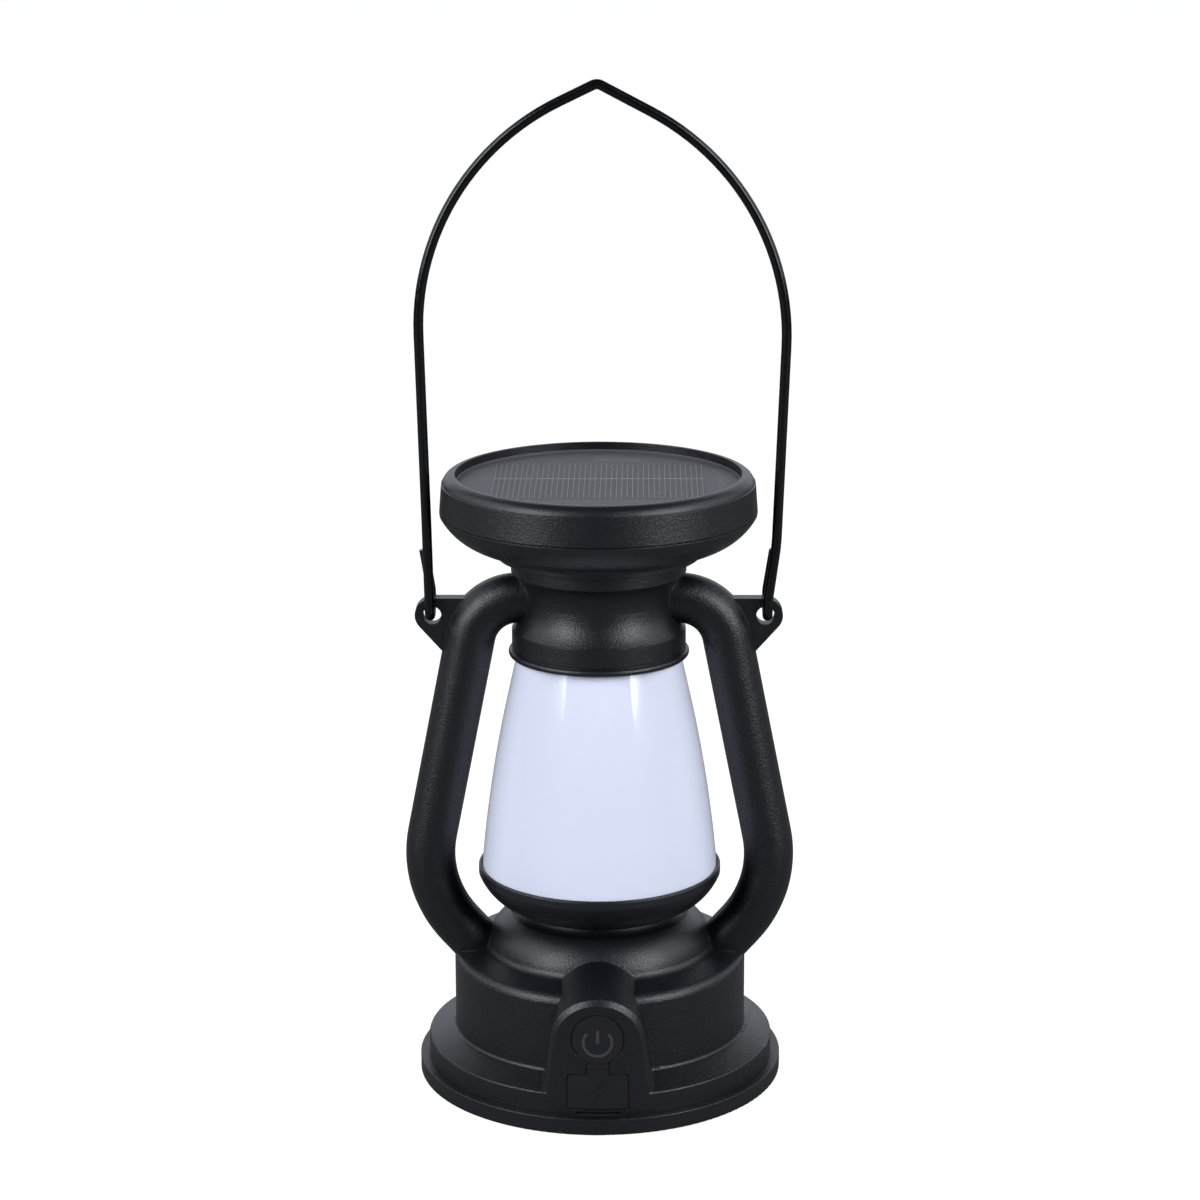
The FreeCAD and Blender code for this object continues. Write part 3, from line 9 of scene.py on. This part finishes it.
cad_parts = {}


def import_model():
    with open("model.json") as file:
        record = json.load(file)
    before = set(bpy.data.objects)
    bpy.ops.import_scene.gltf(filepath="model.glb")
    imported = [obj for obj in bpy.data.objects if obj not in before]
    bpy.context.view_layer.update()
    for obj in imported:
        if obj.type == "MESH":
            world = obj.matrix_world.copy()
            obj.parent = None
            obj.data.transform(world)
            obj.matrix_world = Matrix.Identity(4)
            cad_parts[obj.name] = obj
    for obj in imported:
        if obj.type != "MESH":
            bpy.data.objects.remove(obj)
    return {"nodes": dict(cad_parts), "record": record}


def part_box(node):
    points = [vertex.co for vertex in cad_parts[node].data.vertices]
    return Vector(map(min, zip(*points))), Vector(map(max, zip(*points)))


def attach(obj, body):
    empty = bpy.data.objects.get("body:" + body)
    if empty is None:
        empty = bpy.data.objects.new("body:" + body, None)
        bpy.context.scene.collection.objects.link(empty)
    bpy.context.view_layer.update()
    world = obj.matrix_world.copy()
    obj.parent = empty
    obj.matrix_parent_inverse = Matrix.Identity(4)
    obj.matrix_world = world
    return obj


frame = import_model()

NODES = frame["nodes"]
MM = 0.001

# moulded blacks: base colour, grain scale, roughness, grain depth in metres, specular level, specks
SHELL = ((0.0044, 0.0051, 0.0076), 1500.0, 0.35, 0.00014, 0.5, 0.3)
PLATE = ((0.0044, 0.0051, 0.0075), 1500.0, 0.37, 0.00011, 0.5, 0.25)
EDGE = 0.0003  # radius over which sharp moulded edges catch the light
SEAM = 0.00012  # half width of the housing's parting line, where the colour is darkened as painted shade in its groove
FILM_HIGHLIGHT_RIM = 0.0452  # distance from the axis beyond which the panel's film is painted lighter, a painted highlight along its edge

# printed pattern of the cells, in millimetres
STRIPS, STRIP_GAP = 10, 0.25
FINGERS, FINGER_WIDTH, FINGER_HEIGHT = 4, 0.15, 0.03
BUS_WIDTH, BUS_HEIGHT, BUS_SHIFT = 0.7, 0.05, 3.0

# studio: brightness of the room and backdrop in reflections, of the floor to the eye, and the lamps
ROOM, BACKDROP, FLOOR_GLOW = 0.05, 0.9, 0.95
LAMP_TINT = (0.975, 0.99, 1.05)
LAMP_AIM = Vector((0.0, 0.0, 0.12))
LAMPS = (  # name, azimuth off the front, elevation, distance, (width, height), watts
    ("left_box", -52, 26, 1.5, (0.48, 1.04), 17.0),
    ("right_box", 52, 26, 1.5, (0.48, 1.06), 17.0),
    ("left_fill", -96, 30, 1.6, (1.0, 1.3), 7.0),
    ("right_fill", 96, 30, 1.6, (1.0, 1.3), 7.0),
)

# camera: turn, tilt and roll in degrees, distance and height in metres, focal length and sensor in mm
TURN, TILT, ROLL = 0.8, 75.02, -0.17
REACH, HEIGHT, SIDESTEP = 1.0044, 0.4295, 0.0004
LENS, SENSOR = 96.5, 36.0

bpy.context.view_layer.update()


# ---------------------------------------------------------------- shader helpers


class Shader:
    """A node material with one Principled shader and short calls for its textures."""

    def __init__(self, name):
        self.material = bpy.data.materials.new(name)
        self.material.use_nodes = True
        self.tree = self.material.node_tree
        self.main = self.tree.nodes["Principled BSDF"]
        self.place = self.add("ShaderNodeTexCoord").outputs["Object"]

    def add(self, kind, **settings):
        node = self.tree.nodes.new(kind)
        for key, value in settings.items():
            setattr(node, key, value)
        return node

    def link(self, source, target):
        self.tree.links.new(source, target)

    def set(self, **values):
        """Set plain numbers and colours on the Principled shader's own sockets."""
        for key, value in values.items():
            self.main.inputs[key.replace("_", " ")].default_value = value

    def noise(self, scale, detail=2.0, roughness=0.5, stretch=None):
        node = self.add("ShaderNodeTexNoise")
        node.inputs["Scale"].default_value = scale
        node.inputs["Detail"].default_value = detail
        node.inputs["Roughness"].default_value = roughness
        place = self.place
        if stretch:
            mapping = self.add("ShaderNodeMapping")
            mapping.inputs["Scale"].default_value = stretch
            self.link(self.place, mapping.inputs["Vector"])
            place = mapping.outputs["Vector"]
        self.link(place, node.inputs["Vector"])
        return node.outputs["Fac"]

    def cells(self, scale, feature="F1"):
        node = self.add("ShaderNodeTexVoronoi", feature=feature)
        node.inputs["Scale"].default_value = scale
        self.link(self.place, node.inputs["Vector"])
        return node.outputs["Distance"]

    def ramp(self, source, stops):
        """Map a number to another through (position, value) stops."""
        node = self.add("ShaderNodeValToRGB")
        elements = node.color_ramp.elements
        while len(elements) < len(stops):
            elements.new(0.5)
        for element, (position, value) in zip(elements, stops):
            element.position = position
            colour = value if isinstance(value, tuple) else (value, value, value)
            element.color = (*colour, 1.0)
        self.link(source, node.inputs["Fac"])
        return node.outputs["Color"]

    def math(self, operation, first, second):
        node = self.add("ShaderNodeMath", operation=operation)
        for socket, value in zip(node.inputs, (first, second)):
            if isinstance(value, (int, float)):
                socket.default_value = value
            else:
                self.link(value, socket)
        return node.outputs["Value"]

    def bump(self, height, strength, distance, after=None):
        node = self.add("ShaderNodeBump")
        node.inputs["Strength"].default_value = strength
        node.inputs["Distance"].default_value = distance
        self.link(height, node.inputs["Height"])
        if after:
            self.link(after, node.inputs["Normal"])
        self.link(node.outputs["Normal"], self.main.inputs["Normal"])
        return node.outputs["Normal"]

    def reach(self):
        """Distance from the upright axis, in metres."""
        split = self.add("ShaderNodeSeparateXYZ")
        self.link(self.place, split.inputs["Vector"])
        squares = [self.math("MULTIPLY", split.outputs[axis], split.outputs[axis]) for axis in "XY"]
        return self.math("SQRT", self.math("ADD", *squares), 0.0)

    def eased(self, radius):
        """The surface normal with sharp edges and corners rounded over a radius in metres."""
        node = self.add("ShaderNodeBevel", samples=6)
        node.inputs["Radius"].default_value = radius
        return node.outputs["Normal"]

    def mix(self, factor, first, second):
        node = self.add("ShaderNodeMix", data_type="RGBA")
        for key, value in (("Factor", factor), ("A", first), ("B", second)):
            socket = node.inputs[key]
            if hasattr(value, "links"):
                self.link(value, socket)
            else:
                socket.default_value = value if isinstance(value, float) else (*value, 1.0)
        return node.outputs["Result"]


def moulded(name, colour, grain, roughness, depth, specular=0.5, speck=0.0, edge=0.0, seam=0.0):
    """Moulded plastic with a spark-eroded grain: fine pits, cloudy gloss and a few light specks.

    edge rounds sharp corners; seam is the half width of the parting line along the plane Y = 0, painted
    darker as shade in its groove and bumped in as a groove.
    """
    s = Shader(name)
    clouds = s.noise(45.0, 3.0)
    tint = s.mix(clouds, tuple(c * 0.86 for c in colour), tuple(min(c * 1.16, 1.0) for c in colour))
    if speck:
        dots = s.ramp(s.noise(900.0, 1.0), [(0.74, 0.0), (0.82, speck)])
        tint = s.mix(dots, tint, tuple(min(c * 6, 1.0) for c in colour))
    smooth = s.eased(edge) if edge else None
    if seam:
        split = s.add("ShaderNodeSeparateXYZ")
        s.link(s.place, split.inputs["Vector"])
        # painted shade: the parting line's colour is darkened to stand in for the shade in its groove
        seam_shade = s.math("LESS_THAN", s.math("ABSOLUTE", split.outputs["Y"], 0.0), seam)
        tint = s.mix(seam_shade, tint, tuple(c * 0.25 for c in colour))
        smooth = s.bump(s.math("SUBTRACT", 1.0, seam_shade), 1.0, seam, smooth)
    s.link(tint, s.main.inputs["Base Color"])
    fine = s.noise(grain * 2.3, 2.0)
    gloss = s.ramp(fine, [(0.3, roughness - 0.06), (0.7, roughness + 0.06)])
    s.link(gloss, s.main.inputs["Roughness"])
    s.set(Specular_IOR_Level=specular)
    pits = s.bump(s.noise(grain, 3.0, 0.6), 1.0, depth, smooth)
    s.bump(fine, 1.0, depth * 0.35, pits)
    return s.material


# ---------------------------------------------------------------- materials


def shade_white():
    """Glossy milk-white diffuser: light enters a little, with slow waviness in the gloss."""
    s = Shader("shade_white")
    haze = s.noise(22.0, 2.0)
    s.link(s.mix(haze, (0.755, 0.80, 0.965), (0.78, 0.825, 0.985)), s.main.inputs["Base Color"])
    s.link(s.ramp(s.noise(400.0, 2.0), [(0.3, 0.05), (0.7, 0.09)]), s.main.inputs["Roughness"])
    s.set(Subsurface_Weight=0.25, Subsurface_Scale=0.004, Specular_IOR_Level=0.5)
    s.main.inputs["Subsurface Radius"].default_value = (1.0, 1.0, 1.1)
    s.bump(s.noise(60.0, 1.0), 1.0, 0.00004)
    return s.material


def gloss_coat():
    """Powder-like black gloss coat of the wire, with soft orange peel."""
    s = Shader("bail_black")
    tint = s.mix(s.noise(300.0, 2.0), (0.0020, 0.0020, 0.0022), (0.0034, 0.0034, 0.0037))
    s.link(tint, s.main.inputs["Base Color"])
    s.link(s.ramp(s.noise(900.0, 2.0), [(0.3, 0.16), (0.7, 0.26)]), s.main.inputs["Roughness"])
    s.set(Specular_IOR_Level=0.3)
    s.bump(s.noise(700.0, 1.0), 1.0, 0.00002)
    return s.material


def rubber(name, colour, roughness):
    s = Shader(name)
    s.link(s.mix(s.noise(120.0, 3.0), tuple(c * 0.8 for c in colour), tuple(c * 1.25 for c in colour)),
           s.main.inputs["Base Color"])
    s.link(s.ramp(s.noise(2500.0, 2.0), [(0.3, roughness - 0.08), (0.7, roughness + 0.08)]),
           s.main.inputs["Roughness"])
    s.set(Specular_IOR_Level=0.35, Sheen_Weight=0.05, Sheen_Roughness=0.5)
    s.bump(s.noise(3200.0, 2.0), 1.0, 0.000012)
    return s.material


def metal(name, colour, roughness, stretch=(1.0, 1.0, 12.0)):
    s = Shader(name)
    lines = s.noise(900.0, 3.0, 0.6, stretch)
    s.link(s.mix(lines, tuple(c * 0.8 for c in colour), colour), s.main.inputs["Base Color"])
    s.link(s.ramp(lines, [(0.3, roughness - 0.08), (0.7, roughness + 0.1)]), s.main.inputs["Roughness"])
    s.set(Metallic=1.0)
    s.bump(lines, 1.0, 0.00001)
    return s.material


def board(name, colour):
    """Solder mask over copper: faint tracks show as lighter, slightly raised lines."""
    s = Shader(name)
    tracks = s.ramp(s.cells(260.0, "DISTANCE_TO_EDGE"), [(0.03, 1.0), (0.06, 0.0)])
    copper = tuple(min(c * 1.7 + 0.01, 1.0) for c in colour)
    s.link(s.mix(tracks, colour, copper), s.main.inputs["Base Color"])
    s.link(s.ramp(s.noise(500.0, 2.0), [(0.3, 0.28), (0.7, 0.42)]), s.main.inputs["Roughness"])
    s.bump(tracks, 0.6, 0.00003)
    return s.material


def cell():
    """Thin solar cell: cloudy blue-grey with fine crystal grain."""
    s = Shader("cell_grey")
    grain = s.cells(900.0)
    shade = s.mix(grain, (0.075, 0.08, 0.098), (0.10, 0.107, 0.128))
    s.link(s.mix(s.noise(90.0, 3.0), shade, (0.085, 0.09, 0.11)), s.main.inputs["Base Color"])
    s.link(s.ramp(s.noise(1500.0, 2.0), [(0.3, 0.3), (0.7, 0.45)]), s.main.inputs["Roughness"])
    s.bump(grain, 0.5, 0.00001)
    return s.material


def film():
    """Clear textured top film of the panel: mostly see-through, with a soft hazy gloss and a painted
    highlight ring along its edge.
    """
    s = Shader("panel_clear")
    haze = s.mix(s.noise(60.0, 3.0), (0.148, 0.156, 0.174), (0.158, 0.167, 0.185))
    rim = s.math("GREATER_THAN", s.reach(), FILM_HIGHLIGHT_RIM)
    # painted highlight: beyond the rim radius the film's colour is lighter
    s.link(s.mix(rim, haze, (0.30, 0.31, 0.33)), s.main.inputs["Base Color"])
    s.link(s.ramp(s.noise(1800.0, 2.0), [(0.3, 0.30), (0.7, 0.36)]), s.main.inputs["Roughness"])
    s.set(Alpha=0.42, Specular_IOR_Level=0.35)
    s.bump(s.noise(2200.0, 2.0), 1.0, 0.000004)
    return s.material


def grid_line():
    s = Shader("grid_line")
    s.link(s.mix(s.noise(800.0, 2.0), (0.42, 0.35, 0.28), (0.62, 0.54, 0.45)), s.main.inputs["Base Color"])
    s.link(s.ramp(s.noise(2500.0, 2.0), [(0.3, 0.35), (0.7, 0.5)]), s.main.inputs["Roughness"])
    s.set(Metallic=0.6)
    return s.material


def dress():
    """Give every node the material of its slot."""
    made = {
        "shell_black": moulded("shell_black", *SHELL, edge=EDGE, seam=SEAM),
        "plate_black": moulded("plate_black", *PLATE, edge=EDGE),
        "silicone_black": rubber("silicone_black", (0.0050, 0.0050, 0.0058), 0.62),
        "symbol_grey": rubber("symbol_grey", (0.040, 0.047, 0.062), 0.55),
        "socket_steel": metal("socket_steel", (0.62, 0.62, 0.62), 0.3),
        "board_part_black": moulded("board_part_black", (0.02, 0.02, 0.02), 2600.0, 0.45, 0.00001),
        "board_green": board("board_green", (0.012, 0.075, 0.03)),
        "cell_wrap": moulded("cell_wrap", (0.04, 0.14, 0.38), 600.0, 0.22, 0.00001),
        "contact_nickel": metal("contact_nickel", (0.66, 0.64, 0.6), 0.28),
        "ribbon_white": moulded("ribbon_white", (0.62, 0.62, 0.58), 900.0, 0.4, 0.00001),
        "lead_red": rubber("lead_red", (0.36, 0.02, 0.02), 0.42),
        "board_white": board("board_white", (0.72, 0.72, 0.70)),
        "led_yellow": moulded("led_yellow", (0.80, 0.62, 0.12), 2500.0, 0.3, 0.000005),
        "shade_white": shade_white(),
        "panel_backing": moulded("panel_backing", (0.085, 0.090, 0.100), 700.0, 0.5, 0.00002),
        "cell_grey": cell(),
        "panel_clear": film(),
        "tape_white": moulded("tape_white", (0.7, 0.7, 0.7), 2400.0, 0.6, 0.00002),
        "bail_black": gloss_coat(),
        "screw_steel": metal("screw_steel", (0.50, 0.50, 0.50), 0.34),
    }
    for head in ("solar_bowl", "solar_bezel"):
        made[head] = moulded("head_black", *SHELL, edge=EDGE)
    for row in frame["record"]["subparts"]:
        mesh = NODES[row["node"]].data
        mesh.materials.clear()
        mesh.materials.append(made.get(row["node"], made[row["material_slot"]]))
    return made


# ---------------------------------------------------------------- pieces of their own


def solid_bars(name, bars, material, body):
    """Thin flat bars with a chamfered top, each given as (x, y, z, length x, width y, height), in mm."""
    mesh = bmesh.new()
    corners = ((-1, -1), (1, -1), (1, 1), (-1, 1))
    for x, y, z, long, wide, high in bars:
        rim = min(long, wide) * 0.2
        rings = []
        for lift, inset in ((0.0, 0.0), (high * 0.6, 0.0), (high, rim)):
            half_x, half_y = long / 2 - inset, wide / 2 - inset
            spots = [Vector((x + sx * half_x, y + sy * half_y, z + lift)) for sx, sy in corners]
            rings.append([mesh.verts.new(spot * MM) for spot in spots])
        mesh.faces.new(rings[0][::-1])
        mesh.faces.new(rings[-1])
        for low, up in zip(rings, rings[1:]):
            for n in range(4):
                mesh.faces.new((low[n - 1], low[n], up[n], up[n - 1]))
    data = bpy.data.meshes.new(name)
    mesh.to_mesh(data)
    mesh.free()
    thing = bpy.data.objects.new(name, data)
    bpy.context.scene.collection.objects.link(thing)
    data.materials.append(material)
    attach(thing, body)
    return thing


def cell_grid():
    """The cells' printed fingers along Y and the bus line that crosses them, broken at each strip."""
    low, high = (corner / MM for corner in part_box("solar_cells"))
    pitch = (high.x - low.x + STRIP_GAP) / STRIPS
    middle, top = (low.y + high.y) / 2, high.z
    length = high.y - low.y - 1.6
    fingers = []
    for strip in range(STRIPS):
        start = low.x + strip * pitch
        for finger in range(FINGERS):
            x = start + pitch * (finger + 0.35) / FINGERS
            stagger = 0.5 * math.sin(7.3 * strip + 2.1 * finger)
            fingers.append((x, middle + stagger, top, FINGER_WIDTH, length, FINGER_HEIGHT))
    centres = [low.x + (strip + 0.5) * pitch - 0.12 for strip in range(STRIPS)]
    bus = [(x, middle + BUS_SHIFT, top, pitch - 0.55, BUS_WIDTH, BUS_HEIGHT) for x in centres]
    solid_bars("cell_grid", fingers + bus, grid_line(), "body")


# ---------------------------------------------------------------- studio


def softbox(name, azimuth, elevation, distance, size, watts):
    """A rectangular lamp that looks at the lantern from an azimuth off the front and an elevation."""
    lamp = bpy.data.lights.new(name, "AREA")
    lamp.shape = "RECTANGLE"
    lamp.size, lamp.size_y = size
    lamp.energy = watts
    lamp.color = LAMP_TINT
    thing = bpy.data.objects.new(name, lamp)
    bpy.context.scene.collection.objects.link(thing)
    a, e = math.radians(azimuth), math.radians(elevation)
    away = Vector((math.sin(a) * math.cos(e), -math.cos(a) * math.cos(e), math.sin(e)))
    thing.location = LAMP_AIM + away * distance
    thing.rotation_mode = "QUATERNION"
    thing.rotation_quaternion = (-away).to_track_quat("-Z", "Y")
    return thing


def floor():
    """A wide pale floor that reads white and takes only a faint shadow."""
    mesh = bmesh.new()
    bmesh.ops.create_circle(mesh, cap_ends=True, segments=128, radius=12.0)
    data = bpy.data.meshes.new("floor")
    mesh.to_mesh(data)
    mesh.free()
    thing = bpy.data.objects.new("floor", data)
    thing.location.z = -0.0002
    bpy.context.scene.collection.objects.link(thing)
    s = Shader("floor_white")
    s.link(s.mix(s.noise(3.0, 2.0), (0.21, 0.21, 0.21), (0.23, 0.23, 0.23)), s.main.inputs["Base Color"])
    s.set(Roughness=0.9, Specular_IOR_Level=0.1)
    seen = s.add("ShaderNodeLightPath").outputs["Is Camera Ray"]
    s.main.inputs["Emission Color"].default_value = (1.0, 1.0, 1.0, 1.0)
    s.link(s.math("MULTIPLY", seen, FLOOR_GLOW), s.main.inputs["Emission Strength"])
    data.materials.append(s.material)


def fade(tree, source, start, end):
    """A smooth change from one (position, brightness) to another along one direction of the room."""
    ramp = tree.nodes.new("ShaderNodeValToRGB")
    ramp.color_ramp.interpolation = "EASE"
    for element, (position, value) in zip(ramp.color_ramp.elements, (start, end)):
        element.position = position
        element.color = (value, value * 1.02, value * 1.07, 1.0)
    tree.links.new(source, ramp.inputs["Fac"])
    return ramp.outputs["Color"]


def world():
    """White to the eye; for reflections, a dim room with a lit backdrop low down behind the lantern."""
    scene = bpy.context.scene
    scene.world = bpy.data.worlds.new("studio")
    scene.world.use_nodes = True
    tree = scene.world.node_tree
    nodes, links = tree.nodes, tree.links
    nodes.clear()

    split = nodes.new("ShaderNodeSeparateXYZ")
    links.new(nodes.new("ShaderNodeTexCoord").outputs["Generated"], split.inputs["Vector"])
    behind = fade(tree, split.outputs["Y"], (0.35, 0.0), (0.90, 1.0))
    low = fade(tree, split.outputs["Z"], (0.36, BACKDROP), (0.78, 0.0))
    lit = nodes.new("ShaderNodeMix")
    lit.data_type = "RGBA"
    lit.blend_type = "MULTIPLY"
    lit.inputs["Factor"].default_value = 1.0
    links.new(behind, lit.inputs["A"])
    links.new(low, lit.inputs["B"])
    total = nodes.new("ShaderNodeMix")
    total.data_type = "RGBA"
    total.blend_type = "ADD"
    total.inputs["Factor"].default_value = 1.0
    total.inputs["A"].default_value = (ROOM, ROOM * 1.02, ROOM * 1.10, 1.0)
    links.new(lit.outputs["Result"], total.inputs["B"])
    room = nodes.new("ShaderNodeBackground")
    links.new(total.outputs["Result"], room.inputs["Color"])
    white = nodes.new("ShaderNodeBackground")
    white.inputs["Color"].default_value = (1.0, 1.0, 1.0, 1.0)
    pick = nodes.new("ShaderNodeMixShader")
    links.new(nodes.new("ShaderNodeLightPath").outputs["Is Camera Ray"], pick.inputs["Fac"])
    links.new(room.outputs["Background"], pick.inputs[1])
    links.new(white.outputs["Background"], pick.inputs[2])
    out = nodes.new("ShaderNodeOutputWorld")
    links.new(pick.outputs["Shader"], out.inputs["Surface"])
    scene.view_settings.view_transform = "Standard"


def camera():
    lens = bpy.data.cameras.new("camera")
    lens.lens, lens.sensor_width = LENS, SENSOR
    lens.clip_start, lens.clip_end = 0.05, 50.0
    thing = bpy.data.objects.new("camera", lens)
    turn, tilt, roll = (math.radians(angle) for angle in (TURN, TILT, ROLL))
    thing.location = (SIDESTEP + REACH * math.sin(turn), -REACH * math.cos(turn), HEIGHT)
    thing.rotation_mode = "QUATERNION"
    thing.rotation_quaternion = Euler((tilt, 0.0, turn)).to_quaternion() @ Quaternion((0, 0, 1), roll)
    bpy.context.scene.collection.objects.link(thing)
    bpy.context.scene.camera = thing


def main():
    dress()
    cell_grid()
    floor()
    world()
    for lamp in LAMPS:
        softbox(*lamp)
    camera()


main()
